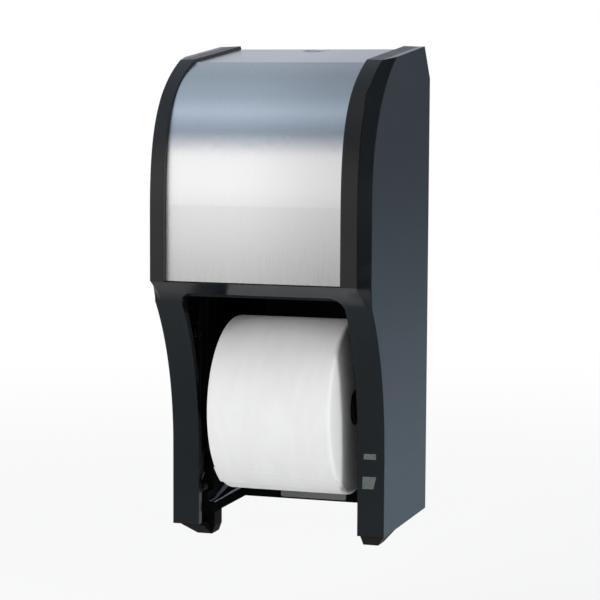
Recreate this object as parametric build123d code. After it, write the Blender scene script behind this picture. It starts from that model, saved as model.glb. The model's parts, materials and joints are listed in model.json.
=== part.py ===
from build123d import *
from itertools import pairwise
from math import atan2, cos, degrees, radians, sin
import os

# Two-roll toilet paper dispenser for a wall, all lengths in millimetres.
# X runs to the right, the front faces -Y and the wall is the plane Y = 0.
# Heights in this file are above the cover's bottom edge. The parts are written
# with their origin at the centre of the wall-screw pattern, on the wall.

# Cover, seen from the front
cover_half_width = 80.0
arris_half_width = 75.0
panel_half_width = 64.0
crest_half_width = 65.0
leg_inner_half_width = 60.1
wall = 2.5
outlet_top = 173.4
outlet_corner_radius = 10.0

# Cover, seen from the side, as (y, z) handles that run up the front
wall_gap = 0.5
leg_front = 117.6
leg_curve = [(-117.6, 58.4), (-117.6, 96.4), (-128.3, 135.0), (-152.9, 166.5)]
header_curve = [(-152.9, 166.5), (-157.8, 172.8), (-166.5, 177.3), (-174.5, 182.5)]
rim_foot = 182.5
arris_curve = [(-175.0, 230.0), (-175.0, 283.0), (-164.5, 315.0), (-116.0, 336.8)]
side_edge_curve = [(-154.0, 240.0), (-154.0, 292.0), (-124.0, 322.0), (-94.0, 339.37)]
crest_curve = [(-177.5, 230.0), (-177.5, 290.0), (-166.0, 315.5), (-116.0, 337.2)]
panel_curve = [(-172.4, 236.0), (-172.4, 302.0), (-155.0, 321.0), (-114.0, 335.2)]
top_slope = 0.117
top_back = 17.0
chamfer_foot_height = 325.0

# Steel sheet
sheet_thickness = 0.8
sheet_back = 19.0
sheet_side_gap = 0.2
sheet_foot_gap = 0.5

# Return flanges and bosses inside the cover
flange_depth = 4.0
flange_thickness = 2.0
jamb_back = 140.0
jamb_foot = 150.0
header_lip_back = 150.0
header_lip_drop = 2.6
boss_radius = 6.0
boss_end = 72.3

# Cover hinge at the feet of the chassis
hinge_depth = 86.0
hinge_height = 6.0
hinge_pin_radius = 2.0
hinge_pin_inner = 63.0
hinge_pin_outer = 76.9
running_clearance = 0.06

# Rolls and spindles
roll_radius = 63.5
roll_length = 92.0
roll_edge_radius = 3.0
core_radius = 13.2
core_wall = 0.9
roll_depth = 84.2
lower_roll_height = 87.6
upper_roll_height = 228.0
lower_roll_shift = 2.4
upper_roll_shift = 0.0
spindle_radius = 11.6
spindle_taper_start = 50.0
spindle_taper_end = 55.0
spindle_neck_radius = 8.5
spindle_end = 59.3
journal_radius = 4.0
journal_end = 62.7

# Back plate and wall screws
plate_half_width = 70.0
plate_foot = 6.0
plate_top = 316.0
plate_thickness = 3.0
wall_screw_height = 175.0
wall_screw_spacing_x = 76.2
wall_screw_spacing_z = 200.0
wall_screw_hole_radius = 2.75
wall_boss_radius = 7.5
back_rib_heights = (112.0, 160.0, 208.0)

# Side frames
frame_inner = 60.0
frame_outer = 64.5
frame_front = 99.0
frame_foot = 6.0
frame_top = 300.0
track_depth = 3.0
flange_inner = 47.5
frame_flange_thickness = 2.5
frame_flange_heights = (23.0, 274.0)
foot_front = 94.7
foot_back = 79.5
foot_bottom = -11.0
foot_inner = 56.0
foot_outer = 71.9
foot_shell_foot = (58.2, 69.5)
foot_shell_rim = (60.0, 77.0)
foot_rim_front = 108.8
foot_rim_back = 75.0
foot_rim_heights = (-2.2, -0.8)
foot_boss_x = 67.4
foot_boss_height = 4.6
foot_boss_radius = 4.5
pin_screw_radius = 1.3
track_bend_height = 262.0
track_mouth = (-110.0, 283.0)
notch_foot = 21.0
notch_top = 51.7
notch_back = 86.0
window_foot = 212.0
window_top = 225.0
window_back = 78.5

# Lower frame
rail_inner = 55.0
rail_foot = 6.0
rail_lip = 13.0
rail_climb = ((99.0, 13.4), (87.0, 13.6), (60.0, 22.0), (3.0, 22.0))
rear_bar_front = 29.0
rear_bar_top = 22.0
rear_lip_start = -34.0
rear_lip_top = 15.6
rear_lip_thickness = 2.0
bar_hollow_places = (-43.0, -14.5, 14.5, 43.0)
bar_hollow_half = 13.0
rail_screw_depths = (24.0, 66.0)
rail_screw_height = 10.0

# Release levers
lever_inner = 65.0
lever_thickness = 2.4
lever_pivot = (-93.0, 140.0)
lever_pin_radius = 3.0
lever_pin_end = 72.6
lever_boss_radius = 7.0
finger_top = 223.2
paddle_foot = 26.0
paddle_top = 41.0
paddle_front = 105.0
paddle_thickness = 2.2

# Lever springs
spring_wire_radius = 0.45
spring_radius = 4.6
spring_pitch = 1.4
spring_turns = 3

# Lock
lock_depth = 30.0
lock_notch_radius = 10.0
lock_boss_radius = 10.5
lock_recess_radius = 9.2
lock_boss_foot = 338.0
lock_boss_top = 343.2
housing_radius = 6.5
housing_flange_radius = 8.5
housing_foot = 326.5
housing_top = 344.3
nut_radius = 9.4
nut_height = 3.5
plug_radius = 4.5
tail_width = 5.0
cam_height = 322.0
cam_thickness = 2.0
cam_inner_radius = 13.6
cam_outer_radius = 17.6
cam_finger_angles = (-70.0, 5.0)
cam_arm_width = 6.0
cam_hub_radius = 5.5
strike_height = 317.0
strike_top = 325.5
strike_front = 20.2
strike_foot = 298.0
strike_half_width = 14.0
strike_lip = (-6.0, 5.0)
strike_lip_thickness = 1.8
strike_lip_relief = 6.0
strike_steel = 1.5

# Screws
frame_screw_radius = 1.9
frame_screw_heights = (62.0, 160.0, 258.0)
frame_screw_x = 53.8
rail_screw_radius = 1.4
rail_screw_reach = 3.2
strike_screw_radius = 1.6
strike_screw_height = 305.0
strike_screw_x = 8.0
trim_screw_radius = 1.1
trim_screw_length = 4.0
trim_screw_front_heights = (196.0, 226.0)
trim_screw_top_depths = (45.0, 92.0)


def inset(handles, depth):
    """Moves a row of handles in by a depth, to the right of the way they run."""
    points = [Vector(*handle) for handle in handles]
    runs = [(b - a).normalized() for a, b in pairwise(points)]
    normals = [Vector(run.Y, -run.X) for run in runs]
    moved = []
    for index, point in enumerate(points):
        before = normals[max(index - 1, 0)]
        after = normals[min(index, len(normals) - 1)]
        shift = (before + after) * (depth / (1 + before.dot(after)))
        moved.append((point.X + shift.X, point.Y + shift.Y))
    return moved


def side_face(x, curves):
    """Closed face across the object at x, from lines of two handles and curves of four."""
    edges = []
    for handles in curves:
        edges.append(Line(*handles) if len(handles) == 2 else Bezier(*handles))
    return Plane.YZ.offset(x) * make_face(edges)


def side_prism(x_low, x_high, curves):
    """The outline, given as for side_face, drawn out from one x to another."""
    return extrude(side_face(x_low, curves), x_high - x_low)


def polygon(points):
    """Closed outline of straight runs for side_face."""
    return [[a, b] for a, b in pairwise([*points, points[0]])]


def backwards(curves):
    """The same curves, run from their end to their start."""
    return [curve[::-1] for curve in curves[::-1]]


def block(x, y, z):
    """Box between pairs of low and high coordinates."""
    middle = ((x[0] + x[1]) / 2, (y[0] + y[1]) / 2, (z[0] + z[1]) / 2)
    return Pos(*middle) * Box(x[1] - x[0], y[1] - y[0], z[1] - z[0])


def rod_x(radius, x, y, z):
    """Round bar along X between two x values."""
    return Pos((x[0] + x[1]) / 2, y, z) * Rot(0, 90, 0) * Cylinder(radius, x[1] - x[0])


def rod_y(radius, x, y, z):
    """Round bar along Y between two y values."""
    return Pos(x, (y[0] + y[1]) / 2, z) * Rot(90, 0, 0) * Cylinder(radius, y[1] - y[0])


def rod_z(radius, x, y, z):
    """Round bar along Z between two z values."""
    return Pos(x, y, (z[0] + z[1]) / 2) * Cylinder(radius, z[1] - z[0])


def slot_x(x_low, x_high, start, end, radius):
    """Slot with round ends, between two (y, z) points, drawn out along X."""
    run = Vector(*end) - Vector(*start)
    middle = (Vector(*start) + Vector(*end)) * 0.5
    turn = Pos(middle.X, middle.Y) * Rot(0, 0, degrees(atan2(run.Y, run.X)))
    face = Plane.YZ.offset(x_low) * turn * SlotCenterToCenter(run.length, 2 * radius)
    return extrude(face, x_high - x_low)


def both_sides(piece):
    """The piece and its mirror image on the other side."""
    return piece + mirror(piece, about=Plane.YZ)


def top_line(start):
    """Straight top from the end of a front curve back towards the wall."""
    end = (-wall_gap, start[1] + (-wall_gap - start[0]) * top_slope)
    return [start, end]


def floor_line():
    """Top of the sheet's seat: up the front, over the crease and back to the wall."""
    foot = (panel_curve[0][0], rim_foot)
    outer = [foot, *panel_curve, top_line(panel_curve[-1])[1]]
    seat = inset(outer, sheet_thickness)
    return [seat[0:2], seat[1:5], seat[4:6]]


def cover_outline(header, front):
    """Outer outline of the cover's side with a given header and front curve."""
    top = top_line(front[-1])
    return [
        [(-wall_gap, 0), (-leg_front, 0)],
        [(-leg_front, 0), leg_curve[0]],
        leg_curve,
        header,
        [header[-1], front[0]],
        front,
        top,
        [top[-1], (-wall_gap, 0)],
    ]


def seat_outline():
    """Outer outline of the cover between the rims, where the sheet lies."""
    floor = floor_line()
    return [
        [(-wall_gap, 0), (-leg_front, 0)],
        [(-leg_front, 0), leg_curve[0]],
        leg_curve,
        header_curve,
        [header_curve[-1], floor[0][0]],
        *floor,
        [floor[-1][-1], (-wall_gap, 0)],
    ]


def cavity_outline(header_top, front):
    """Inner outline of the cover's side: open below and at the back."""
    leg = inset(leg_curve, wall)
    top_height = top_line(front[-1])[1][1]
    chamfer = inset([(-top_back, top_height), (-wall_gap, chamfer_foot_height)], wall)
    run = (chamfer[1][0] - chamfer[0][0]) / (chamfer[1][1] - chamfer[0][1])
    offset = chamfer[0][0] - chamfer[0][1] * run - front[-1][0]
    top_corner_z = (front[-1][1] + offset * top_slope) / (1 - run * top_slope)
    top_corner = (chamfer[0][0] + (top_corner_z - chamfer[0][1]) * run, top_corner_z)
    back = 5.0
    below = -5.0
    return [
        [(back, below), (leg[0][0], below)],
        [(leg[0][0], below), leg[0]],
        leg,
        [leg[-1], header_top],
        [header_top, front[0]],
        front,
        [front[-1], top_corner],
        [top_corner, chamfer[1]],
        [chamfer[1], (back, chamfer[1][1])],
        [(back, chamfer[1][1]), (back, below)],
    ]


def chamfer_wedge():
    """What the slanted back of the top takes off the cover and its trims."""
    reach = cover_half_width + 1
    top_height = top_line(arris_curve[-1])[1][1]
    corner = (-top_back, arris_curve[-1][1] + (-top_back - arris_curve[-1][0]) * top_slope)
    above = top_height + 20
    points = [corner, (-top_back, above), (5, above), (5, chamfer_foot_height - 5)]
    points.append((-wall_gap, chamfer_foot_height))
    return side_prism(-reach, reach, polygon(points))


def cover_cavity():
    """Inside of the cover: a prism between the rims and a tapered flank each side."""
    inner_floor = inset([h for c in floor_line()[:2] for h in c[:-1]] + [floor_line()[1][-1]], wall)
    front = inner_floor[1:]
    header_top = (inner_floor[0][0], rim_foot + 1.5)
    middle = cavity_outline(header_top, front)
    side_front = inset(side_edge_curve, wall)
    side = cavity_outline((side_front[0][0], rim_foot + 1.5), side_front)
    shoulder = arris_half_width - wall
    edge = cover_half_width - wall
    flank = loft([side_face(shoulder, middle), side_face(edge, side)], ruled=True)
    return side_prism(-shoulder, shoulder, middle) + both_sides(flank)


def leg_flange():
    """Return flange down the inner edge of a leg, deeper where it is the outlet's jamb."""
    x_low = leg_inner_half_width
    x_high = x_low + flange_thickness
    outer = [[(-leg_front, 0), leg_curve[0]], leg_curve, header_curve]
    inner_leg = inset(leg_curve, wall + flange_depth)
    inner_top = (inner_leg[-1][0] + 10, header_curve[-1][1])
    inner = [
        [(inner_leg[0][0], 0), inner_leg[0]],
        inner_leg,
        [inner_leg[-1], inner_top],
    ]
    closed = outer + [[header_curve[-1], inner_top]] + backwards(inner)
    closed.append([(inner_leg[0][0], 0), (-leg_front, 0)])
    strip = side_prism(x_low, x_high, closed)
    jamb_points = cover_outline(header_curve, arris_curve)
    jamb = side_prism(x_low, x_high, jamb_points)
    jamb &= block((x_low, x_high), (-200, -jamb_back), (jamb_foot, rim_foot))
    return strip + jamb


def outlet_cut():
    """Opening between the legs, with rounded top corners, through the front only."""
    width = 2 * leg_inner_half_width
    height = outlet_top + 40
    face = Plane.XZ * Pos(0, outlet_top - height / 2) * RectangleRounded(
        width, height, outlet_corner_radius
    )
    return Pos(0, -100, 0) * extrude(face, 100)


def header_lip():
    """Shelf that turns back under the header, with a low rib along its rear edge."""
    reach = leg_inner_half_width
    back = -header_lip_back
    lip = block((-reach, reach), (-168, back), (outlet_top, outlet_top + 2))
    lip += block((-reach, reach), (back - 2, back), (outlet_top - header_lip_drop, outlet_top + 2))
    return lip & side_prism(-reach, reach, cover_outline(header_curve, arris_curve))


def top_tilt():
    """Angle by which the flat top leans forward."""
    return degrees(atan2(top_slope, 1))


def trim_screw_places():
    """Seats of the right trim's screws inside the cover, facing out through its wall."""
    x = (panel_half_width + arris_half_width) / 2
    seat = floor_line()
    places = []
    for height in trim_screw_front_heights:
        places.append(Location((x, seat[0][0][0] + wall, height), (90, 0, 0)))
    for depth in trim_screw_top_depths:
        start = seat[2][0]
        height = start[1] + (-depth - start[0]) * top_slope - wall / cos(radians(top_tilt()))
        places.append(Location((x, -depth, height), (top_tilt(), 0, 0)))
    return places


def screw(shank_radius, shank_length, head_radius, head_height):
    """Pan-head screw standing up from its seat, with its head below."""
    shank = rod_z(shank_radius, 0, 0, (0, shank_length))
    head = rod_z(head_radius, 0, 0, (-head_height, 0))
    return shank + chamfer(head.edges().sort_by(Axis.Z)[0], head_height * 0.4)


def trim_screw_holes():
    """Pilot holes through the cover's wall into both trims."""
    hole = rod_z(trim_screw_radius, 0, 0, (-1, trim_screw_length))
    return both_sides(Part() + [place * hole for place in trim_screw_places()])


def make_cover_shell():
    """Moulded cover: curved front with a seat for the sheet, bevelled flanks, swept legs."""
    flank_faces = [
        side_face(arris_half_width, cover_outline(header_curve, arris_curve)),
        side_face(cover_half_width, side_outline()),
    ]
    shell = side_prism(-arris_half_width, arris_half_width, seat_outline())
    shell += both_sides(loft(flank_faces, ruled=True))
    shell -= cover_cavity()
    shell -= outlet_cut()
    shell -= chamfer_wedge()
    shell += both_sides(leg_flange())
    shell += header_lip()
    shell += rod_z(lock_boss_radius, 0, -lock_depth, (lock_boss_foot, lock_boss_top))
    shell -= rod_z(housing_radius, 0, -lock_depth, (lock_boss_foot - 1, lock_boss_top + 1))
    shell -= rod_z(lock_recess_radius, 0, -lock_depth, (lock_boss_top, lock_boss_top + 10))
    boss = rod_x(boss_radius, (boss_end, cover_half_width - wall + 0.1), -hinge_depth, hinge_height)
    shell += both_sides(boss)
    bore_radius = hinge_pin_radius + running_clearance
    bore = rod_x(bore_radius, (boss_end - 1, hinge_pin_outer + 0.3), -hinge_depth, hinge_height)
    shell -= both_sides(bore)
    return shell - trim_screw_holes()


def side_outline():
    """Outline of the cover's side wall, where its bevel ends."""
    header = [leg_curve[-1], (side_edge_curve[0][0], rim_foot)]
    return cover_outline(header, side_edge_curve)


def make_front_panel():
    """Steel sheet: flat top, a crease and one long curve down to the header."""
    seat = floor_line()
    foot = rim_foot + sheet_foot_gap
    top = top_line(panel_curve[-1])
    seat_foot = (seat[0][0][0], foot)
    outline = [
        [seat_foot, (panel_curve[0][0], foot)],
        [(panel_curve[0][0], foot), panel_curve[0]],
        panel_curve,
        top,
        [top[1], seat[2][1]],
        *backwards([[seat_foot, seat[0][1]], seat[1], seat[2]]),
    ]
    reach = panel_half_width - sheet_side_gap
    sheet = side_prism(-reach, reach, outline)
    sheet -= block((-reach, reach), (-sheet_back, 5), (320, 360))
    return sheet - rod_z(lock_notch_radius, 0, -lock_depth, (330, 360))


def rim_outline(front):
    """Outline from a rim's front curve back to the wall, above the header."""
    top = top_line(front[-1])
    foot = (front[0][0], rim_foot)
    heel = (-wall_gap, rim_foot)
    return [[heel, foot], [foot, front[0]], front, top, [top[1], heel]]


def make_right_rim_trim():
    """Strip that stands proud of the sheet and falls off to the bevel's arris."""
    crest = side_face(crest_half_width, rim_outline(crest_curve))
    arris = side_face(arris_half_width, rim_outline(arris_curve))
    trim = side_prism(panel_half_width, crest_half_width, rim_outline(crest_curve))
    trim += loft([crest, arris], ruled=True)
    trim -= side_prism(panel_half_width - 1, arris_half_width + 1, seat_outline())
    trim -= chamfer_wedge()
    return trim - trim_screw_holes()


def make_trim_screws():
    """Self-tapping screws that hold both trims from inside the cover."""
    one = screw(trim_screw_radius, trim_screw_length, 2.6, 1.8)
    return both_sides(Part() + [place * one for place in trim_screw_places()])


def make_lock_housing():
    """Flanged barrel that carries the key plug through the cover's top."""
    barrel = rod_z(housing_radius, 0, -lock_depth, (housing_foot, lock_boss_top))
    flange = rod_z(housing_flange_radius, 0, -lock_depth, (lock_boss_top, housing_top))
    flange = chamfer(flange.edges().sort_by(Axis.Z)[-1], 0.4)
    bore = rod_z(plug_radius + running_clearance, 0, -lock_depth, (housing_foot - 1, housing_top + 1))
    return barrel + flange - bore


def make_lock_nut():
    """Hexagon nut that clamps the housing under the cover's boss."""
    hexagon = Pos(0, -lock_depth, lock_boss_foot - nut_height) * RegularPolygon(nut_radius, 6)
    nut = extrude(hexagon, nut_height)
    return nut - rod_z(housing_radius, 0, -lock_depth, (lock_boss_foot - 10, lock_boss_top))


def make_lock_plug():
    """Key plug with its keyway, and a square tail for the cam."""
    top = housing_top - 0.2
    plug = rod_z(plug_radius, 0, -lock_depth, (cam_height + cam_thickness, top))
    tail_height = cam_thickness
    plug += Pos(0, -lock_depth, cam_height + tail_height / 2) * Box(tail_width, tail_width, tail_height)
    keyway = block((-2.8, 2.8), (-lock_depth - 0.6, -lock_depth + 0.6), (top - 4, top + 1))
    return plug - keyway


def make_lock_cam():
    """Hooked cam: an arm and a curved finger that swings behind the strike."""
    ring = Circle(cam_outer_radius) - Circle(cam_inner_radius)
    low, high = cam_finger_angles
    middle = radians((low + high) / 2)
    reach = 2 * cam_outer_radius
    half = radians((high - low) / 2)
    rays = [(reach * cos(middle + side * half), reach * sin(middle + side * half)) for side in (-1, 1)]
    finger = ring & make_face(Polyline((0, 0), *rays, (0, 0)))
    arm_length = cam_inner_radius + 1
    arm = Rot(0, 0, low + 13) * Pos(arm_length / 2, 0) * Rectangle(arm_length, cam_arm_width)
    plan = finger + arm + Circle(cam_hub_radius) - Rectangle(tail_width, tail_width)
    return extrude(Pos(0, -lock_depth, cam_height) * plan, cam_thickness)


def make_cam_screw():
    """Screw that holds the cam on the plug's tail."""
    return rod_z(3.4, 0, -lock_depth, (cam_height - 2, cam_height))


def make_lock_strike():
    """Bent steel bracket on the back plate, with the lip that the cam hooks behind."""
    half = strike_half_width
    reach = (-half, half)
    shelf_z = (strike_height - strike_steel, strike_height)
    foot_y = (-plate_thickness - strike_steel, -plate_thickness)
    strike = block(reach, foot_y, (strike_foot, strike_height))
    strike += block(reach, (-strike_front, -plate_thickness), shelf_z)
    relief = (-strike_front, -strike_front + strike_lip_relief)
    strike -= block((-half, strike_lip[0]), relief, shelf_z)
    strike -= block((strike_lip[1], half), relief, shelf_z)
    lip_y = (-strike_front, -strike_front + strike_lip_thickness)
    strike += block(strike_lip, lip_y, (shelf_z[0], strike_top))
    for x in (-strike_screw_x, strike_screw_x):
        strike -= rod_y(strike_screw_radius, x, foot_y, strike_screw_height)
    return strike


def make_strike_screws():
    """Pair of screws that hold the strike to the back plate."""
    one = Rot(90, 0, 0) * Rot(180, 0, 0) * screw(strike_screw_radius, 4.0, 3.0, 1.8)
    seat = -plate_thickness - strike_steel
    places = [Pos(x, seat, strike_screw_height) for x in (-strike_screw_x, strike_screw_x)]
    return Part() + [place * one for place in places]


def wall_screw_places():
    """Centres of the four wall screws as (x, z)."""
    half_x = wall_screw_spacing_x / 2
    half_z = wall_screw_spacing_z / 2
    places = []
    for x in (-half_x, half_x):
        for z in (wall_screw_height - half_z, wall_screw_height + half_z):
            places.append((x, z))
    return places


def make_back_plate():
    """Wall plate with turned edges, cross ribs and raised bosses round its screw holes."""
    reach = plate_half_width
    back = -plate_thickness
    plate = block((-reach, reach), (back, 0), (plate_foot, plate_top))
    plate += both_sides(block((reach - 2, reach), (back - 5, back), (plate_foot + 16, plate_top)))
    plate += block((-reach, reach), (back - 5, back), (plate_top - 2, plate_top))
    for height in back_rib_heights:
        plate += block((-flange_inner + 0.5, flange_inner - 0.5), (back - 3, back), (height - 1, height + 1))
    for x, z in wall_screw_places():
        plate += rod_y(wall_boss_radius, x, (back - 2, back), z)
        plate -= rod_y(wall_screw_hole_radius, x, (back - 3, 1), z)
    for x in (-strike_screw_x, strike_screw_x):
        plate -= rod_y(strike_screw_radius, x, (back - 5, 1), strike_screw_height)
    half = strike_half_width
    plate -= block((-half, half), (back - 6, back), (strike_foot, plate_top + 1))
    for x in (-frame_screw_x, frame_screw_x):
        for z in frame_screw_heights:
            plate -= rod_y(frame_screw_radius, x, (back - 5, 1), z)
    return plate


def frame_outline():
    """Side of a side frame: notched low at the front, its top corner swept back."""
    back = -plate_thickness
    front = -frame_front
    sweep_foot = (front, frame_top - 26)
    sweep = [sweep_foot, (front, frame_top - 8), (front + 14, frame_top), (front + 34, frame_top)]
    corners = [(back, frame_foot), (front, frame_foot), (front, notch_foot), (-notch_back, notch_foot)]
    corners += [(-notch_back, notch_top), (front, notch_top), sweep_foot]
    top = [sweep[-1], (-24, frame_top), (back, frame_top - 26), corners[0]]
    return [[a, b] for a, b in pairwise(corners)] + [sweep] + [[a, b] for a, b in pairwise(top)]


def spindle_track():
    """Groove for a spindle's journal: in at the front, up and down behind the levers."""
    x_low = frame_inner - 1
    x_high = frame_inner + track_depth
    radius = journal_radius + running_clearance
    foot = (-roll_depth, lower_roll_height)
    bend = (-roll_depth, track_bend_height)
    track = slot_x(x_low, x_high, foot, bend, radius)
    return track + slot_x(x_low, x_high, bend, track_mouth, radius + 0.6)


def foot_outline():
    """Front view of the right foot's core as (x, z)."""
    low = foot_bottom
    return [
        (frame_outer, 20), (frame_inner, 20), (frame_inner, frame_foot), (foot_inner, frame_foot),
        (foot_inner, low + 6), (foot_shell_foot[0], low), (foot_shell_foot[1], low),
        (foot_outer, low + 4), (foot_outer, 14),
    ]


def make_foot():
    """Right foot: a core that carries the hinge, and a flared shell under the cover's leg."""
    foot = extrude(Plane.XZ.offset(foot_back) * make_face(Polyline(*foot_outline(), close=True)),
                   foot_front - foot_back)
    low = block(foot_shell_foot, (-foot_front, -foot_back), (foot_bottom, 0))
    rim = block(foot_shell_rim, (-foot_rim_front, -foot_rim_back), foot_rim_heights)
    flare = loft([low.faces().sort_by(Axis.Z)[0], rim.faces().sort_by(Axis.Z)[0]], ruled=True)
    return foot + flare + rim


def make_right_side_frame():
    """Side frame: track for the spindles, flange to the back plate, foot with the hinge."""
    frame = side_prism(frame_inner, frame_outer, frame_outline())
    flange_y = (-plate_thickness - frame_flange_thickness, -plate_thickness)
    frame += block((flange_inner, frame_inner), flange_y, frame_flange_heights)
    frame += make_foot()
    frame += rod_y(foot_boss_radius, foot_boss_x, (-foot_front - 0.8, -foot_front), foot_boss_height)
    frame += rod_x(lever_boss_radius, (frame_outer, lever_inner - 0.2), *lever_pivot)
    frame -= spindle_track()
    through = (frame_inner - 1, frame_outer + 1)
    frame -= block(through, (-frame_front - 1, -window_back), (window_foot, window_top))
    frame -= rod_x(hinge_pin_radius, (hinge_pin_inner, foot_outer + 1), -hinge_depth, hinge_height)
    frame -= rod_x(lever_pin_radius, (frame_inner + 1, lever_inner), *lever_pivot)
    frame -= rod_y(pin_screw_radius, foot_boss_x, (-foot_front - 1, -88.0), foot_boss_height)
    for z in frame_screw_heights:
        frame -= rod_y(frame_screw_radius, frame_screw_x, (-8, 0), z)
    for depth in rail_screw_depths:
        frame -= rod_x(rail_screw_radius, through, -depth, rail_screw_height)
    return frame


def make_frame_screws():
    """Six screws that hold the side frames to the back plate."""
    one = Rot(90, 0, 0) * Rot(180, 0, 0) * screw(frame_screw_radius, 5.0, 3.6, 2.2)
    seat = -plate_thickness - frame_flange_thickness
    return both_sides(Part() + [Pos(frame_screw_x, seat, z) * one for z in frame_screw_heights])


def rail_sections():
    """Right rail's cross-sections from front to back: a level lip and a climbing outer edge."""
    sections = []
    for depth, height in rail_climb:
        corners = [(rail_inner, rail_foot), (frame_inner, rail_foot)]
        corners += [(frame_inner, height), (rail_inner, rail_lip)]
        sections.append(Plane.XZ.offset(depth) * make_face(Polyline(*corners, close=True)))
    return sections


def make_lower_frame():
    """U-shaped base, open to the front, with a sloped top round the outlet."""
    back = -plate_thickness
    front = -rear_bar_front
    bar = [(front, rail_foot), (front, rail_lip), (back, rear_bar_top), (back, rail_foot)]
    base = side_prism(-frame_inner, frame_inner, polygon(bar))
    base += both_sides(loft(rail_sections(), ruled=True))
    lip_y = (front, front + rear_lip_thickness)
    base += block((rear_lip_start, frame_inner), lip_y, (rail_foot, rear_lip_top))
    hollow = [(front + wall, 0), (front + wall, rail_lip - wall)]
    hollow += [(back - wall, rear_bar_top - 1.4 * wall), (back - wall, 0)]
    for x in bar_hollow_places:
        base -= side_prism(x - bar_hollow_half, x + bar_hollow_half, polygon(hollow))
    for x in (-frame_inner, frame_inner):
        for depth in rail_screw_depths:
            hole_x = (x - rail_screw_reach - 0.3, x + rail_screw_reach + 0.3)
            base -= rod_x(rail_screw_radius, hole_x, -depth, rail_screw_height)
    return base


def make_rail_screws():
    """Four screws through the side frames into the lower frame's rails."""
    length = frame_outer - frame_inner + rail_screw_reach
    one = Rot(0, -90, 0) * screw(rail_screw_radius, length, 2.7, 1.7)
    places = [Pos(frame_outer, -depth, rail_screw_height) * one for depth in rail_screw_depths]
    return both_sides(Part() + places)


def make_right_hinge_pin():
    """Steel pin fixed in the foot; the cover's boss turns on its outer end."""
    pin = rod_x(hinge_pin_radius, (hinge_pin_inner, hinge_pin_outer), -hinge_depth, hinge_height)
    return chamfer(pin.edges().sort_by(Axis.X)[-1], 0.4)


def make_pin_lock_screws():
    """Small bright screws in the feet that lock the hinge pins."""
    one = rod_y(pin_screw_radius, foot_boss_x, (-foot_front - 1.1, -88.2), foot_boss_height)
    return both_sides(one)


def make_right_release_lever():
    """Lever on the outside of the frame: a finger under the reserve spindle, a thumb paddle."""
    x_high = lever_inner + lever_thickness
    lever = slot_x(lever_inner, x_high, lever_pivot, (-99.5, 34), 5)
    lever += slot_x(lever_inner, x_high, lever_pivot, (-87, 214), 5)
    lever += rod_x(lever_boss_radius, (lever_inner, x_high), *lever_pivot)
    lever += block((lever_inner, x_high), (-92, -80.2), (208, finger_top))
    lever += block((frame_inner + 1, lever_inner), (-88.2, -80.2), (finger_top - 4, finger_top))
    paddle = [(60.7, 36.5), (66, paddle_top), (72, paddle_top), (72, paddle_foot), (65, paddle_foot)]
    paddle_plane = Plane.XZ.offset(paddle_front - paddle_thickness)
    lever += extrude(paddle_plane * make_face(Polyline(*paddle, close=True)), paddle_thickness)
    return lever - rod_x(lever_pin_radius + running_clearance, (lever_inner - 1, x_high + 1), *lever_pivot)


def make_right_lever_pivot():
    """Headed pin that the lever turns on."""
    shank = rod_x(lever_pin_radius, (frame_inner + 1, lever_pin_end), *lever_pivot)
    return shank + rod_x(5.6, (lever_pin_end, lever_pin_end + 1.4), *lever_pivot)


def make_right_lever_spring():
    """Coiled return spring round the pivot pin."""
    coil = Helix(spring_pitch, spring_pitch * spring_turns, spring_radius)
    section = Plane(origin=coil @ 0, z_dir=coil % 0) * RegularPolygon(spring_wire_radius, 6)
    wire = sweep(section, coil)
    start = lever_inner + lever_thickness + spring_wire_radius + 0.15
    return Pos(start, *lever_pivot) * Rot(0, 90, 0) * wire


def make_spindle(height):
    """Moulded spindle: core support, shoulders and a journal at each end."""
    half = [
        (0, 0), (0, spindle_radius), (spindle_taper_start, spindle_radius),
        (spindle_taper_end, spindle_neck_radius), (spindle_end, spindle_neck_radius),
        (spindle_end, journal_radius), (journal_end - 0.5, journal_radius),
        (journal_end, journal_radius - 0.5), (journal_end, 0),
    ]
    profile = make_face(Polyline(*half, close=True))
    side = revolve(profile, Axis.X)
    return Pos(0, -roll_depth, height) * both_sides(side)


def make_core(height, shift):
    """Cardboard tube of a roll."""
    ends = (shift - roll_length / 2, shift + roll_length / 2)
    tube = rod_x(core_radius, ends, -roll_depth, height)
    return tube - rod_x(core_radius - core_wall, (ends[0] - 1, ends[1] + 1), -roll_depth, height)


def make_paper(height, shift):
    """Wound paper of a roll, with softly rounded edges."""
    ends = (shift - roll_length / 2, shift + roll_length / 2)
    paper = rod_x(roll_radius, ends, -roll_depth, height)
    paper = fillet(paper.edges().filter_by(GeomType.CIRCLE), roll_edge_radius)
    return paper - rod_x(core_radius, (ends[0] - 1, ends[1] + 1), -roll_depth, height)


def write(name, piece):
    """Writes a part as one STEP file, moved to the origin on the wall."""
    placed = Pos(0, 0, -wall_screw_height) * piece
    export_step(placed, f"parts/{name}.step")
    print(name, len(placed.solids()), round(placed.volume), placed.is_valid)


def write_pair(name, right):
    """Writes a part for the right side and its mirror image for the left."""
    write(f"right_{name}", right)
    write(f"left_{name}", mirror(right, about=Plane.YZ))


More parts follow.
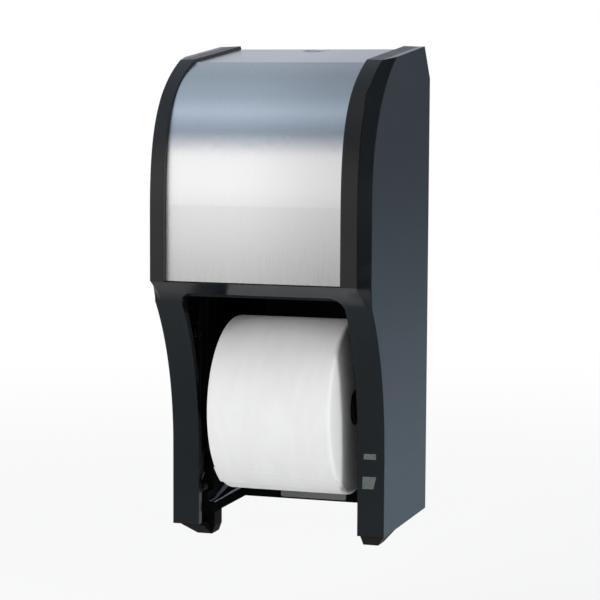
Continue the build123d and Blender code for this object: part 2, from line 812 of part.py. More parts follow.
def main():
    """Makes every part and writes it."""
    os.makedirs("parts", exist_ok=True)
    write("cover_shell", make_cover_shell())
    write("front_panel", make_front_panel())
    write("trim_screws", make_trim_screws())
    write("lock_housing", make_lock_housing())
    write("lock_nut", make_lock_nut())
    write("lock_plug", make_lock_plug())
    write("lock_cam", make_lock_cam())
    write("cam_screw", make_cam_screw())
    write("lock_strike", make_lock_strike())
    write("strike_screws", make_strike_screws())
    write("back_plate", make_back_plate())
    write("frame_screws", make_frame_screws())
    write("lower_frame", make_lower_frame())
    write("rail_screws", make_rail_screws())
    write("pin_lock_screws", make_pin_lock_screws())
    write_pair("rim_trim", make_right_rim_trim())
    write_pair("side_frame", make_right_side_frame())
    write_pair("hinge_pin", make_right_hinge_pin())
    write_pair("release_lever", make_right_release_lever())
    write_pair("lever_pivot", make_right_lever_pivot())
    write_pair("lever_spring", make_right_lever_spring())
    lower = ("lower", lower_roll_height, lower_roll_shift)
    upper = ("upper", upper_roll_height, upper_roll_shift)
    for name, height, shift in (lower, upper):
        write(f"{name}_spindle", make_spindle(height))
        write(f"{name}_core", make_core(height, shift))
        write(f"{name}_paper_roll", make_paper(height, shift))


main()
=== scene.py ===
import bpy
import json
import math
from mathutils import Matrix, Vector


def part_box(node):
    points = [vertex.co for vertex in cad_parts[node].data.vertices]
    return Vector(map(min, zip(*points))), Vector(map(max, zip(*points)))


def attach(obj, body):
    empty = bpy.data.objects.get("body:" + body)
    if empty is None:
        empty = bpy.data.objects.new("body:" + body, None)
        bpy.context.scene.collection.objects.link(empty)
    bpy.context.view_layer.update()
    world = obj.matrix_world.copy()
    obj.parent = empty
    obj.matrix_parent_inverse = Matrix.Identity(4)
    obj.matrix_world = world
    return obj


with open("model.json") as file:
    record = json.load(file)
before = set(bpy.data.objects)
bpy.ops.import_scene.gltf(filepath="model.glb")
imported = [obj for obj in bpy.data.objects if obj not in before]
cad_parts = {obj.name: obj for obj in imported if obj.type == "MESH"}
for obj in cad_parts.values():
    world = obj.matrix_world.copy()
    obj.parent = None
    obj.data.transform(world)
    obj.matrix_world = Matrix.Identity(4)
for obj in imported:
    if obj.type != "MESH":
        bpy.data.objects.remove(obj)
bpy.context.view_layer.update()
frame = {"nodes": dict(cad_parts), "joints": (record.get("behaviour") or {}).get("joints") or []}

MM = 0.001


def reach(node):
    """Lowest and highest corner of a CAD node at rest, in millimetres."""
    return tuple(tuple(value / MM for value in corner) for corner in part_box(node))


cover_low, cover_high = reach("cover_shell")
roll_low, roll_high = reach("lower_paper_roll")
lock_high = reach("lock_housing")[1]
HOLES_HEIGHT = -cover_low[2]


def at(x, y, height):
    """Point from millimetres, with the height taken from the cover's bottom edge."""
    return Vector((x * MM, y * MM, (height - HOLES_HEIGHT) * MM))


def joint_place(name):
    """y and height of a joint, in millimetres."""
    place = next(joint["pos_m"] for joint in frame["joints"] if joint["name"] == name)
    return place[1] / MM, place[2] / MM + HOLES_HEIGHT


# Places on the part, in millimetres: y forward is negative, heights start at the cover's bottom edge

ROLL_AXIS, ROLL_HEIGHT = joint_place("lower_roll_turn")
UPPER_ROLL_HEIGHT = joint_place("upper_roll_turn")[1]
ROLL_SHIFT = (roll_low[0] + roll_high[0]) / 2
ROLL_HALF_LENGTH = (roll_high[0] - roll_low[0]) / 2
ROLL_RADIUS = ROLL_HEIGHT - HOLES_HEIGHT - roll_low[2]
COVER_HALF_WIDTH = cover_high[0]
ARRIS_HALF_WIDTH = COVER_HALF_WIDTH - 5.0
ARRIS_FRONT = cover_low[1]
HEADER_CURVE = ((-152.9, 166.5), (-157.8, 172.8), (-166.5, 177.3), (-174.5, 182.5))
CHEEK_FLANK = ((-153.0, 166.8), (-158.6, 181.2))
CHEEK_ABOVE = ((-157.6, 188.0), (-155.9, 197.0))
CHEEK_BACK = -151.0
LEG_FRONT = -117.6
LOCK_DEPTH = joint_place("lock_turn")[0]
LOCK_RADIUS = lock_high[0]
LOCK_TOP = lock_high[2] + HOLES_HEIGHT
TOP_SLOPE = 0.117
BAR_FRONT = -29.0
RAIL_CLIMB = ((99.0, 13.4), (87.0, 13.6), (60.0, 22.0), (3.0, 22.0))
RAIL_OUTER = reach("lower_frame")[1][0]
RAIL_INNER = RAIL_OUTER - 5.0
RAIL_LIP = 13.0
FRAME_SCREW_X = 53.8
FRAME_SCREW_HEIGHTS = (62.0, 160.0, 258.0)
FRAME_SCREW_FACE = reach("frame_screws")[0][1]
STRIKE_SCREW_X = 8.0
STRIKE_SCREW_HEIGHT = 305.0
STRIKE_SCREW_FACE = reach("strike_screws")[0][1]

# Camera

CAMERA_PLACE = (0.4717, -1.5370, 0.1374)
CAMERA_YAW = math.radians(17.78)
CAMERA_PITCH = math.radians(5.56)
CAMERA_ROLL = math.radians(0.31)
CAMERA_LENS = 126.49


def make_camera():
    """Camera at the photograph's viewing angle."""
    data = bpy.data.cameras.new("camera")
    data.lens = CAMERA_LENS
    data.sensor_width = 36.0
    data.clip_start = 0.05
    data.clip_end = 60.0
    camera = bpy.data.objects.new("camera", data)
    bpy.context.scene.collection.objects.link(camera)
    look = Vector((
        -math.sin(CAMERA_YAW) * math.cos(CAMERA_PITCH),
        math.cos(CAMERA_YAW) * math.cos(CAMERA_PITCH),
        -math.sin(CAMERA_PITCH),
    ))
    level = Vector((math.cos(CAMERA_YAW), math.sin(CAMERA_YAW), 0.0))
    above = level.cross(look)
    right = level * math.cos(CAMERA_ROLL) + above * math.sin(CAMERA_ROLL)
    up = above * math.cos(CAMERA_ROLL) - level * math.sin(CAMERA_ROLL)
    turn = Matrix((right, up, -look)).transposed()
    camera.matrix_world = Matrix.Translation(CAMERA_PLACE) @ turn.to_4x4()
    bpy.context.scene.camera = camera


# Material helpers


def opaque(value):
    """A colour of three numbers gets its alpha; anything else stays as it is."""
    if isinstance(value, tuple) and len(value) == 3:
        return (*value, 1.0)
    return value


class Nodes:
    """Node tree of a new material or world, with short calls for the nodes used here."""

    def __init__(self, name, kind="Material"):
        owners = bpy.data.worlds if kind == "World" else bpy.data.materials
        self.owner = owners.new(name)
        self.owner.use_nodes = True
        self.tree = self.owner.node_tree
        self.tree.nodes.clear()
        self.output = self.add(f"ShaderNodeOutput{kind}")

    def add(self, kind, **settings):
        """New node with its settings."""
        node = self.tree.nodes.new(kind)
        for key, value in settings.items():
            setattr(node, key, value)
        return node

    def set(self, node, values):
        """Sets inputs by name or number; a value that is a socket is linked."""
        for key, value in values.items():
            socket = node.inputs[key]
            if isinstance(value, bpy.types.NodeSocket):
                self.tree.links.new(value, socket)
            else:
                socket.default_value = value
        return node

    def math(self, operation, a, b=0.0):
        """Result of an operation on one or two numbers."""
        node = self.add("ShaderNodeMath", operation=operation)
        return self.set(node, {0: a, 1: b}).outputs[0]

    def step(self, value, low, high, out_low=0.0, out_high=1.0):
        """Smooth step of a value from low to high."""
        node = self.add("ShaderNodeMapRange", interpolation_type="SMOOTHSTEP")
        self.set(node, {0: value, 1: low, 2: high, 3: out_low, 4: out_high})
        return node.outputs[0]

    def place(self):
        """The point on the object, in metres."""
        return self.add("ShaderNodeTexCoord").outputs["Object"]

    def split(self, point):
        """A point's x, y and z."""
        node = self.set(self.add("ShaderNodeSeparateXYZ"), {0: point})
        return node.outputs[0], node.outputs[1], node.outputs[2]

    def distance(self, a, b):
        """Length of two sides at a right angle."""
        squares = [self.math("MULTIPLY", side, side) for side in (a, b)]
        return self.math("SQRT", self.math("ADD", *squares))

    def mirrored_rays(self, rays):
        """1 for the rays that a mirror or glass sends out."""
        return self.math("MAXIMUM", rays.outputs["Is Glossy Ray"], rays.outputs["Is Transmission Ray"])

    def stretched(self, point, scale):
        """The point scaled along each axis."""
        node = self.add("ShaderNodeMapping")
        self.set(node, {"Vector": point, "Scale": scale})
        return node.outputs[0]

    def noise(self, point, scale, detail, roughness):
        """Noise from 0 to 1."""
        node = self.add("ShaderNodeTexNoise")
        self.set(node, {"Vector": point, "Scale": scale, "Detail": detail, "Roughness": roughness})
        return node.outputs[0]

    def cells(self, point, scale, randomness=1.0):
        """Distance to the middle of the nearest cell."""
        node = self.add("ShaderNodeTexVoronoi", feature="F1")
        self.set(node, {"Vector": point, "Scale": scale, "Randomness": randomness})
        return node.outputs["Distance"]

    def ramp(self, value, stops):
        """Colour by value, through stops of (place, colour)."""
        node = self.add("ShaderNodeValToRGB")
        ramp = node.color_ramp
        while len(ramp.elements) < len(stops):
            ramp.elements.new(0.5)
        for element, (place, colour) in zip(ramp.elements, stops):
            element.position = place
            element.color = opaque(colour)
        return self.set(node, {0: value}).outputs[0]

    def mix(self, factor, a, b):
        """Mix of two colours."""
        node = self.add("ShaderNodeMix", data_type="RGBA")
        return self.set(node, {0: factor, 6: opaque(a), 7: opaque(b)}).outputs[2]

    def mix_number(self, factor, a, b):
        """Mix of two numbers."""
        node = self.add("ShaderNodeMix", data_type="FLOAT")
        return self.set(node, {0: factor, 2: a, 3: b}).outputs[0]

    def soft_edges(self, radius):
        """Normal that makes edges look rounded."""
        node = self.add("ShaderNodeBevel", samples=4)
        return self.set(node, {"Radius": radius}).outputs[0]

    def bump(self, height, distance, strength, normal=None):
        """Normal that makes a height look like relief, over another normal if one is given."""
        node = self.add("ShaderNodeBump")
        self.set(node, {"Height": height, "Distance": distance, "Strength": strength})
        if normal is not None:
            self.set(node, {"Normal": normal})
        return node.outputs[0]

    def principled(self, **values):
        """Principled shader; names are the sockets' with spaces as underscores."""
        shader = self.add("ShaderNodeBsdfPrincipled")
        inputs = {key.replace("_", " "): opaque(value) for key, value in values.items()}
        return self.set(shader, inputs).outputs[0]

    def background(self, colour, strength=1.0):
        """Shader of a world."""
        node = self.add("ShaderNodeBackground")
        return self.set(node, {0: opaque(colour), 1: strength}).outputs[0]

    def shade(self, factor, a, b):
        """Mix of two shaders."""
        node = self.add("ShaderNodeMixShader")
        return self.set(node, {0: factor, 1: a, 2: b}).outputs[0]

    def finish(self, shader):
        """The material or world, with this shader as its surface."""
        self.set(self.output, {0: shader})
        return self.owner

    def surface(self, **values):
        """Material with one principled shader."""
        return self.finish(self.principled(**values))


# Materials


def moulded(name, colour, roughness, grain=900.0, depth=0.00006, bevel=0.0004, gloss=0.25):
    """Plastic with a fine spark-eroded grain and softened edges."""
    n = Nodes(name)
    point = n.place()
    fine = n.noise(point, grain, 3.0, 0.6)
    broad = n.noise(point, 14.0, 3.0, 0.6)
    darker = tuple(c * 0.75 for c in colour)
    lighter = tuple(c * 1.25 for c in colour)
    tone = n.math("ADD", n.math("MULTIPLY", fine, 0.6), n.math("MULTIPLY", broad, 0.4))
    return n.surface(
        Base_Color=n.mix(n.step(tone, 0.3, 0.7), darker, lighter),
        Roughness=n.step(broad, 0.2, 0.8, roughness - 0.05, roughness + 0.05),
        Specular_IOR_Level=gloss,
        Normal=n.bump(fine, depth, 1.0, n.soft_edges(bevel)),
    )


def cover_material():
    """Smoke-black cover: textured flat sides with painted shade that runs from lighter low down to darker
    towards the top, a glossy front with faint flow marks.
    """
    n = Nodes("cover_black")
    point = n.place()
    x, _, z = n.split(point)
    side = n.step(n.math("ABSOLUTE", x), (COVER_HALF_WIDTH - 0.35) * MM, (COVER_HALF_WIDTH - 0.1) * MM)
    edges = n.soft_edges(0.0006)
    flow = n.noise(point, 9.0, 2.0, 0.5)
    scratch = n.noise(n.stretched(point, (3.0, 3.0, 0.6)), 60.0, 3.0, 0.6)
    front = n.principled(
        Base_Color=n.mix(n.step(flow, 0.3, 0.7), (0.0035, 0.0048, 0.0062), (0.0060, 0.0078, 0.0096)),
        Roughness=n.step(scratch, 0.3, 0.8, 0.12, 0.22),
        Specular_IOR_Level=0.35,
        Specular_Tint=(0.82, 0.93, 1.0),
        Normal=edges,
    )
    speck = n.noise(point, 1500.0, 2.0, 0.65)
    grain = n.cells(point, 1150.0)
    height = n.math("ADD", n.math("MULTIPLY", grain, 0.7), speck)
    # Painted shade: the flanks' colours go from lighter low down to darker towards the top.
    painted_shade_climb = n.step(z, -0.15, 0.12)
    raised = n.mix(painted_shade_climb, (0.086, 0.112, 0.138), (0.036, 0.046, 0.058))
    pits = n.mix(painted_shade_climb, (0.056, 0.074, 0.090), (0.023, 0.030, 0.038))
    flank = n.principled(
        Base_Color=n.mix(n.step(speck, 0.42, 0.62), pits, raised),
        Roughness=0.6,
        Specular_IOR_Level=0.15,
        Normal=n.bump(height, 0.00020, 0.8, edges),
    )
    return n.finish(n.shade(side, front, flank))


def steel_sheet():
    """Brushed sheet: fine grain that runs up the front and back over the top, with a painted reflection
    that fades from bright on the left to duller on the right.
    """
    n = Nodes("brushed_sheet")
    point = n.place()
    x = n.split(point)[0]
    fine = n.noise(n.stretched(point, (1.0, 0.02, 0.02)), 3600.0, 2.0, 0.5)
    medium = n.noise(n.stretched(point, (1.0, 0.05, 0.05)), 1100.0, 2.0, 0.5)
    lines = n.math("ADD", n.math("MULTIPLY", fine, 0.7), n.math("MULTIPLY", medium, 0.3))
    # Painted reflection: the base colour fades from near white on the left to a duller grey on the right.
    across = n.step(x, -0.02, 0.07)
    light = n.mix(across, (0.99, 0.99, 0.99), (0.76, 0.76, 0.765))
    dark = n.mix(across, (0.94, 0.94, 0.945), (0.70, 0.70, 0.71))
    tangent = n.add("ShaderNodeTangent", direction_type="RADIAL", axis="X")
    return n.surface(
        Base_Color=n.mix(n.step(lines, 0.34, 0.66), dark, light),
        Metallic=1.0,
        Roughness=n.step(lines, 0.3, 0.7, 0.23, 0.28),
        Anisotropic=0.9,
        Anisotropic_Rotation=0.25,
        Tangent=tangent.outputs[0],
        Normal=n.bump(lines, 0.000004, 0.5),
    )


def plain_metal(name, colour, roughness):
    """Small metal parts, plated or bare, with a fine surface."""
    n = Nodes(name)
    point = n.place()
    marks = n.noise(point, 700.0, 3.0, 0.6)
    stain = n.noise(point, 60.0, 3.0, 0.6)
    darker = tuple(c * 0.72 for c in colour)
    return n.surface(
        Base_Color=n.mix(n.step(marks, 0.3, 0.7), darker, colour),
        Metallic=1.0,
        Roughness=n.step(stain, 0.3, 0.7, roughness - 0.06, roughness + 0.08),
        Normal=n.bump(marks, 0.00003, 0.6, n.soft_edges(0.0002)),
    )


def paper_material(name, height_of_axis, shift):
    """Tissue on a roll: faint embossing outside, wound layers on the ends."""
    n = Nodes(name)
    point = n.place()
    x, y, z = n.split(point)
    along = n.math("ABSOLUTE", n.math("SUBTRACT", x, shift * MM))
    forward = n.math("SUBTRACT", y, ROLL_AXIS * MM)
    above = n.math("SUBTRACT", z, (height_of_axis - HOLES_HEIGHT) * MM)
    radius = n.distance(forward, above)
    end = n.step(along, (ROLL_HALF_LENGTH - 1.0) * MM, (ROLL_HALF_LENGTH - 0.2) * MM)
    wobble = n.noise(point, 55.0, 2.0, 0.5)
    turns = n.math("ADD", n.math("MULTIPLY", radius, 7400.0), n.math("MULTIPLY", wobble, 9.0))
    layer = n.math("SINE", turns)
    fibre = n.noise(point, 1300.0, 4.0, 0.7)
    cloud = n.noise(n.stretched(point, (1.0, 0.35, 0.35)), 90.0, 3.0, 0.6)
    dots = n.cells(point, 420.0, 0.3)
    outside = n.mix(n.step(cloud, 0.3, 0.7), (0.735, 0.73, 0.725), (0.765, 0.76, 0.755))
    ends = n.mix(n.step(layer, -1.0, 1.0), (0.66, 0.67, 0.645), (0.80, 0.805, 0.785))
    relief = n.math("ADD", n.math("MULTIPLY", fibre, 0.4), n.math("MULTIPLY", dots, 0.5))
    end_relief = n.math("ADD", n.math("MULTIPLY", layer, 0.5), fibre)
    return n.surface(
        Base_Color=n.mix(end, outside, ends),
        Roughness=0.95,
        Specular_IOR_Level=0.12,
        Sheen_Weight=0.12,
        Normal=n.bump(n.mix_number(end, relief, end_relief), 0.00006, 0.5),
    )


def cardboard():
    """Grey-brown core board with a fibre grain."""
    n = Nodes("core_board")
    point = n.place()
    fibre = n.noise(n.stretched(point, (0.3, 1.0, 1.0)), 900.0, 4.0, 0.7)
    return n.surface(
        Base_Color=n.mix(n.step(fibre, 0.3, 0.7), (0.20, 0.165, 0.12), (0.33, 0.285, 0.215)),
        Roughness=0.9,
        Normal=n.bump(fibre, 0.00008, 0.7),
    )


def dress(material, *names):
    """Gives CAD nodes a material."""
    for name in names:
        mesh = frame["nodes"][name].data
        mesh.materials.clear()
        mesh.materials.append(material)


def pair(name):
    """Names of the left and the right one."""
    return (f"left_{name}", f"right_{name}")


# Pieces of the scene


def piece(name, points, faces, material, body):
    """Mesh from points in millimetres, with heights as in at(), that moves with a body."""
    mesh = bpy.data.meshes.new(name)
    mesh.from_pydata([at(*point) for point in points], [], faces)
    mesh.update()
    mesh.materials.append(material)
    made = bpy.data.objects.new(name, mesh)
    bpy.context.scene.collection.objects.link(made)
    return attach(made, body)


def grid(name, rows, material, body):
    """Surface through rows of points."""
    width = len(rows[0])
    faces = []
    for row in range(len(rows) - 1):
        for column in range(width - 1):
            first = row * width + column
            faces.append((first, first + 1, first + width + 1, first + width))
    made = piece(name, [point for row in rows for point in row], faces, material, body)
    for face in made.data.polygons:
        face.use_smooth = True
    return made


def thicken(made, thickness):
    """Gives a surface a thickness, in millimetres."""
    solid = made.modifiers.new("thickness", "SOLIDIFY")
    solid.thickness = thickness * MM


def inlay(name, corners, depth, material, body):
    """Thin plate on a face that looks forward; corners are (x, height), depth its y and thickness."""
    y, thickness = depth
    front = [(x, y - thickness, height) for x, height in corners]
    back = [(x, y, height) for x, height in corners]
    return piece(name, front + back, plate_faces(0, len(corners)), material, body)


def plate_faces(start, count):
    """Front and edge faces of a plate whose front corners start there, with the back ones after them."""
    faces = [tuple(range(start, start + count))]
    for index in range(count):
        here = start + index
        following = start + (index + 1) % count
        faces.append((here, here + count, following + count, following))
    return faces


def add_tail(material):
    """Loose end of the lower roll's paper, a hair proud of the wound layers."""
    half_width = ROLL_HALF_LENGTH - 0.6
    edge_angle = 2.58
    slant = 0.13
    wave = 0.012
    sweep = 0.30
    lift = 0.5
    tuck = 0.06
    thickness = 0.2
    steps = 24
    columns = 32
    rows = []
    for step in range(steps + 1):
        share = step / steps
        row = []
        for column in range(columns + 1):
            across = column / columns
            x = ROLL_SHIFT - half_width + 2 * half_width * across
            edge = edge_angle + slant * across + wave * math.sin(9.0 * across)
            angle = edge - sweep * (1 - share)
            radius = ROLL_RADIUS + lift * share ** 3 - tuck * (1 - share) ** 3
            y = ROLL_AXIS - radius * math.sin(angle)
            row.append((x, y, ROLL_HEIGHT + radius * math.cos(angle)))
        rows.append(row)
    tail = grid("paper_tail", rows, material, "lower_roll")
    thicken(tail, thickness)


def add_plate():
    """Blank plate on the front of the base's rear bar."""
    corners = [(-25.2, 7.2), (24.5, 7.2), (25.5, 8.2), (25.5, 14.8), (-26.2, 14.8), (-26.2, 8.2)]
    grey = moulded("plate_grey", (0.18, 0.18, 0.18), 0.45, 1200.0, 0.00002)
    inlay("blank_plate", corners, (BAR_FRONT - 0.02, 0.25), grey, "chassis")


def add_recesses():
    """Dark crosses on the screws that face forward: painted shade in place of their cross recesses."""
    # Painted shade: flat dark crosses stand for the shaded hollows of the screws' cross recesses.
    dark = moulded("recess", (0.012, 0.012, 0.012), 0.6, 900.0, 0.00002, 0.0001, 0.1)
    frame_places = [(x, height) for x in (-FRAME_SCREW_X, FRAME_SCREW_X) for height in FRAME_SCREW_HEIGHTS]
    strike_places = [(x, STRIKE_SCREW_HEIGHT) for x in (-STRIKE_SCREW_X, STRIKE_SCREW_X)]
    add_crosses("frame_recesses", frame_places, FRAME_SCREW_FACE, 2.0, dark)
    add_crosses("strike_recesses", strike_places, STRIKE_SCREW_FACE, 1.7, dark)


def add_crosses(name, places, screw_face, arm, material):
    """Crosses a hair in front of the faces of screw heads."""
    half_slot = 0.42
    proud = 0.04
    sunk = 0.2
    outline = cross(arm, half_slot)
    points = []
    faces = []
    for x, height in places:
        faces += plate_faces(len(points), len(outline))
        for y in (screw_face - proud, screw_face + sunk):
            points += [(x + a, y, height + b) for a, b in outline]
    piece(name, points, faces, material, "chassis")


def cross(arm, half):
    """Corners of a cross in order, from the length of its arms and half their width."""
    corners = []
    quarter = [(-half, arm), (half, arm), (half, half)]
    for _ in range(4):
        corners += quarter
        quarter = [(b, -a) for a, b in quarter]
    return corners


def add_lock_collar():
    """Satin collar between the lock's flange and the edge of the sheet's notch."""
    material = moulded("satin_collar", (0.36, 0.37, 0.40), 0.45, 900.0, 0.00002, 0.0002, 0.4)
    inner = LOCK_RADIUS + 0.3
    outer = LOCK_RADIUS + 1.4
    top = LOCK_TOP + 0.6
    foot = LOCK_TOP - 0.6
    steps = 48
    rows = []
    for radius, height in ((outer, top), (inner, top), (inner, foot)):
        row = []
        for step in range(steps + 1):
            angle = 2 * math.pi * step / steps
            y = LOCK_DEPTH + radius * math.sin(angle)
            row.append((radius * math.cos(angle), y, height + TOP_SLOPE * (y - LOCK_DEPTH)))
        rows.append(row)
    grid("lock_collar", rows, material, "cover")


def add_cheeks():
    """Fuller corners where the header meets the flanks, at the ends of its curve."""
    material = frame["nodes"]["cover_shell"].data.materials[0]
    steps = 6
    for label, side in (("left", -1), ("right", 1)):
        rows = []
        for step in range(steps + 1):
            share = step / steps
            rows.append(cheek_row(side, on_curve(HEADER_CURVE, share), on_line(*CHEEK_FLANK, share)))
        for flank_front, height in CHEEK_ABOVE:
            rows.append(cheek_row(side, (ARRIS_FRONT, height), (flank_front, height)))
        grid(f"header_cheek_{label}", rows, material, "cover")


def cheek_row(side, inner, outer):
    """Points from the arris out to the flank and back into its wall."""
    y, height = outer
    flank = side * (COVER_HALF_WIDTH - 0.4)
    return [(side * ARRIS_HALF_WIDTH, *inner), (flank, y, height), (flank, CHEEK_BACK, height)]


def on_line(start, end, share):
    """Point on a straight line."""
    return tuple(a + (b - a) * share for a, b in zip(start, end))


def on_curve(handles, share):
    """Point on a curve with four handles."""
    rest = 1 - share
    weights = (rest ** 3, 3 * share * rest ** 2, 3 * share ** 2 * rest, share ** 3)
    return tuple(sum(weight * point[axis] for weight, point in zip(weights, handles)) for axis in (0, 1))


def add_rail_beads():
    """Raised strips on both rails' sloping tops, with a groove between them; the wide strip's blue-grey is
    a painted reflection and the lip's pale strip a painted highlight.
    """
    # Painted reflection on the wide strips and a painted highlight on the lips, in place of the light that
    # the glossy black tops mirror.
    strip = moulded("rail_painted_reflection", (0.15, 0.18, 0.23), 0.3, 700.0, 0.00002, 0.0003, 0.5)
    lip = moulded("rail_lip_painted_highlight", (0.42, 0.47, 0.56), 0.3, 700.0, 0.00002, 0.0002, 0.5)
    for label, side in (("left", -1), ("right", 1)):
        add_bead(f"rail_painted_reflection_{label}", side, (0.04, 0.42), 0.0, strip)
        add_bead(f"rail_lip_painted_highlight_{label}", side, (0.86, 0.97), 0.084, lip)


def add_bead(name, side, shares, widening, material):
    """Strip along a rail between two shares of its width, wider towards the rear."""
    front = 97.0
    rear = 32.0
    proud = 0.3
    thickness = 0.4
    steps = 18
    columns = 4
    rows = []
    for step in range(steps + 1):
        along = step / steps
        depth = front + (rear - front) * along
        start = shares[0] - widening * along ** 2
        row = []
        for column in range(columns + 1):
            share = start + (shares[1] - start) * column / columns
            row.append(on_rail(side, depth, share, proud))
        rows.append(row if side > 0 else row[::-1])
    bead = grid(name, rows, material, "chassis")
    thicken(bead, thickness)


def on_rail(side, depth, share, proud):
    """Point on a rail's top, at a share of its width from the outer edge to the inner."""
    height = RAIL_CLIMB[-1][1]
    for (far, low), (near, high) in zip(RAIL_CLIMB, RAIL_CLIMB[1:]):
        if near <= depth <= far:
            height = low + (high - low) * (far - depth) / (far - near)
    x = RAIL_OUTER + (RAIL_INNER - RAIL_OUTER) * share
    return (side * x, -depth, height + (RAIL_LIP - height) * share + proud)


def add_leg_windows():
    """Two small lighter panes in the front of the right leg."""
    pale = moulded("smoke_pane", (0.105, 0.120, 0.112), 0.22, 500.0, 0.00001)
    upper = [(64.6, 55.5), (73.4, 55.6), (73.6, 56.0), (73.6, 59.6), (64.6, 59.5)]
    lower = [(63.7, 34.2), (71.9, 34.4), (73.9, 43.2), (63.9, 43.1)]
    for name, corners in (("upper_pane", upper), ("lower_pane", lower)):
        inlay(name, corners, (LEG_FRONT - 0.02, 0.06), pale, "cover")


def dress_nodes():
    """Gives every CAD node its material."""
    dress(cover_material(), "cover_shell")
    dress(steel_sheet(), "front_panel")
    trim = moulded("trim_black", (0.010, 0.0098, 0.0095), 0.32, 1500.0, 0.00004, 0.0005, 0.45)
    dress(trim, *pair("rim_trim"))
    chassis = moulded("chassis_black", (0.005, 0.0052, 0.0055), 0.42, gloss=0.02)
    dress(chassis, *pair("side_frame"))
    dress(moulded("plate_black", (0.011, 0.0112, 0.0116), 0.5, 700.0, 0.00008, gloss=0.1), "back_plate")
    base = moulded("base_black", (0.004, 0.0046, 0.0054), 0.30, 600.0, 0.00002, 0.0008, 0.0)
    dress(base, "lower_frame")
    dress(moulded("lever_black", (0.012, 0.014, 0.017), 0.25, gloss=0.4), *pair("release_lever"))
    dress(moulded("spindle_black", (0.005, 0.005, 0.005), 0.4), "lower_spindle", "upper_spindle")
    dress(plain_metal("plated", (0.76, 0.77, 0.79), 0.42), "lock_housing", "lock_nut", "lock_plug")
    zinc = plain_metal("zinc", (0.50, 0.50, 0.49), 0.34)
    dress(zinc, "lock_cam", "lock_strike", "cam_screw", "strike_screws", "trim_screws", "frame_screws")
    dress(zinc, "rail_screws", "pin_lock_screws", *pair("hinge_pin"))
    dark = plain_metal("dark_steel", (0.045, 0.045, 0.047), 0.35)
    dress(dark, *pair("lever_pivot"), *pair("lever_spring"))
    tissue = paper_material("tissue_lower", ROLL_HEIGHT, ROLL_SHIFT)
    dress(tissue, "lower_paper_roll")
    add_tail(tissue)
    dress(paper_material("tissue_upper", UPPER_ROLL_HEIGHT, 0.0), "upper_paper_roll")
    dress(cardboard(), "lower_core", "upper_core")


# Floor, light and background, in metres

FLOOR_SIZE = 60.0
FLOOR_HEIGHT = -0.30


def make_floor():
    """Pale floor that keeps the object's shadow and runs out to the white background."""
    bpy.ops.mesh.primitive_plane_add(size=FLOOR_SIZE, location=(0.0, 0.0, FLOOR_HEIGHT))
    floor = bpy.context.object
    floor.name = "floor"
    n = Nodes("floor_white")
    point = n.place()
    x, y, _ = n.split(point)
    far = n.distance(x, y)
    tone = n.noise(point, 3.0, 2.0, 0.5)
    card = n.add("ShaderNodeBsdfDiffuse")
    n.set(card, {"Color": n.mix(tone, (0.93, 0.93, 0.93), (0.95, 0.95, 0.95))})
    rays = n.add("ShaderNodeLightPath")
    mirrored = n.mirrored_rays(rays)
    seen = n.math("MAXIMUM", rays.outputs["Is Camera Ray"], mirrored)
    mirror_light = n.step(far, 1.2, 2.8, 0.38, 0.27)
    for start, end, added in ((3.1, 5.2, 0.60), (5.2, 9.0, 0.13)):
        mirror_light = n.math("ADD", mirror_light, n.step(far, start, end, 0.0, added))
    right_side = n.step(n.math("ADD", x, n.math("MULTIPLY", y, 0.3)), 0.15, 1.2, 1.0, 0.12)
    mirror_light = n.math("MULTIPLY", mirror_light, right_side)
    glow = n.add("ShaderNodeEmission")
    n.set(glow, {"Strength": n.mix_number(mirrored, 1.0, mirror_light)})
    whiteness = n.math("MULTIPLY", n.step(far, 0.3, 2.0, 0.7, 1.0), seen)
    floor.data.materials.append(n.finish(n.shade(whiteness, card.outputs[0], glow.outputs[0])))


# What mirrored rays see, by angle: -90 is straight down, 0 in front, 90 straight up and 180 behind

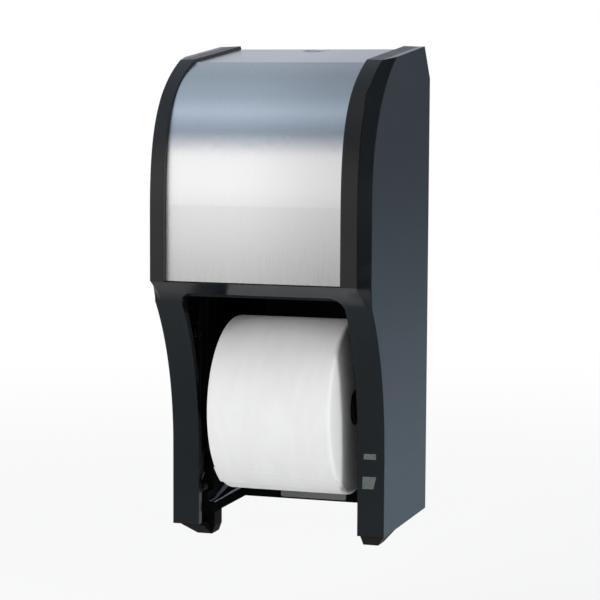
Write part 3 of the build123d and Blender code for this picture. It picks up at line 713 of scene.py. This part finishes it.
STUDIO_START = -90.0
STUDIO_SWEEP = 270.0
STUDIO = (
    (-90.0, (0.60, 0.60, 0.60)),
    (-4.0, (1.0, 1.0, 1.0)),
    (16.0, (1.0, 1.0, 1.0)),
    (20.0, (0.70, 0.72, 0.76)),
    (31.0, (0.27, 0.32, 0.40)),
    (54.0, (0.46, 0.55, 0.66)),
    (80.0, (0.33, 0.40, 0.48)),
    (120.0, (0.28, 0.335, 0.40)),
    (145.0, (0.33, 0.37, 0.44)),
    (168.0, (0.49, 0.52, 0.58)),
    (180.0, (0.60, 0.62, 0.66)),
)


def make_world():
    """Even studio light; mirrored rays see a white horizon, a blue-grey ceiling and a dim right side."""
    n = Nodes("studio", "World")
    across, depth, height = n.split(n.add("ShaderNodeTexCoord").outputs["Generated"])
    angle = n.math("ARCTAN2", height, n.math("MULTIPLY", depth, -1.0))
    from_start = n.math("SUBTRACT", angle, math.radians(STUDIO_START))
    turn = n.math("DIVIDE", from_start, math.radians(STUDIO_SWEEP))
    stops = [((degrees - STUDIO_START) / STUDIO_SWEEP, colour) for degrees, colour in STUDIO]
    dim = n.step(across, -0.04, 0.65, 1.0, 0.10)
    room = n.mix(dim, (0.0, 0.0, 0.0), n.ramp(turn, stops))
    rays = n.add("ShaderNodeLightPath")
    ambient = n.background((0.96, 0.98, 1.0), 0.56)
    around = n.shade(n.mirrored_rays(rays), ambient, n.background(room))
    white = n.background((1.0, 1.0, 1.0))
    bpy.context.scene.world = n.finish(n.shade(rays.outputs["Is Camera Ray"], around, white))


def make_lamp(name, place, target, size, power):
    """Soft square lamp aimed at a point."""
    data = bpy.data.lights.new(name, "AREA")
    data.size = size
    data.energy = power
    lamp = bpy.data.objects.new(name, data)
    bpy.context.scene.collection.objects.link(lamp)
    lamp.location = place
    aim = Vector(target) - Vector(place)
    lamp.rotation_euler = aim.to_track_quat("-Z", "Y").to_euler()
    lamp.visible_glossy = False


def make_lights():
    """Lamps at the front left, above and on the right flank."""
    middle = (0.0, -0.08, 0.0)
    make_lamp("key", (-1.0, -2.3, 0.9), middle, 1.4, 30.0)
    make_lamp("top", (-0.2, -0.5, 1.9), middle, 1.4, 8.0)
    make_lamp("side", (2.2, -0.22, 0.15), middle, 0.7, 22.0)


bpy.context.scene.view_settings.view_transform = "Standard"
make_camera()
dress_nodes()
add_plate()
add_recesses()
add_lock_collar()
add_cheeks()
add_rail_beads()
add_leg_windows()
make_floor()
make_world()
make_lights()
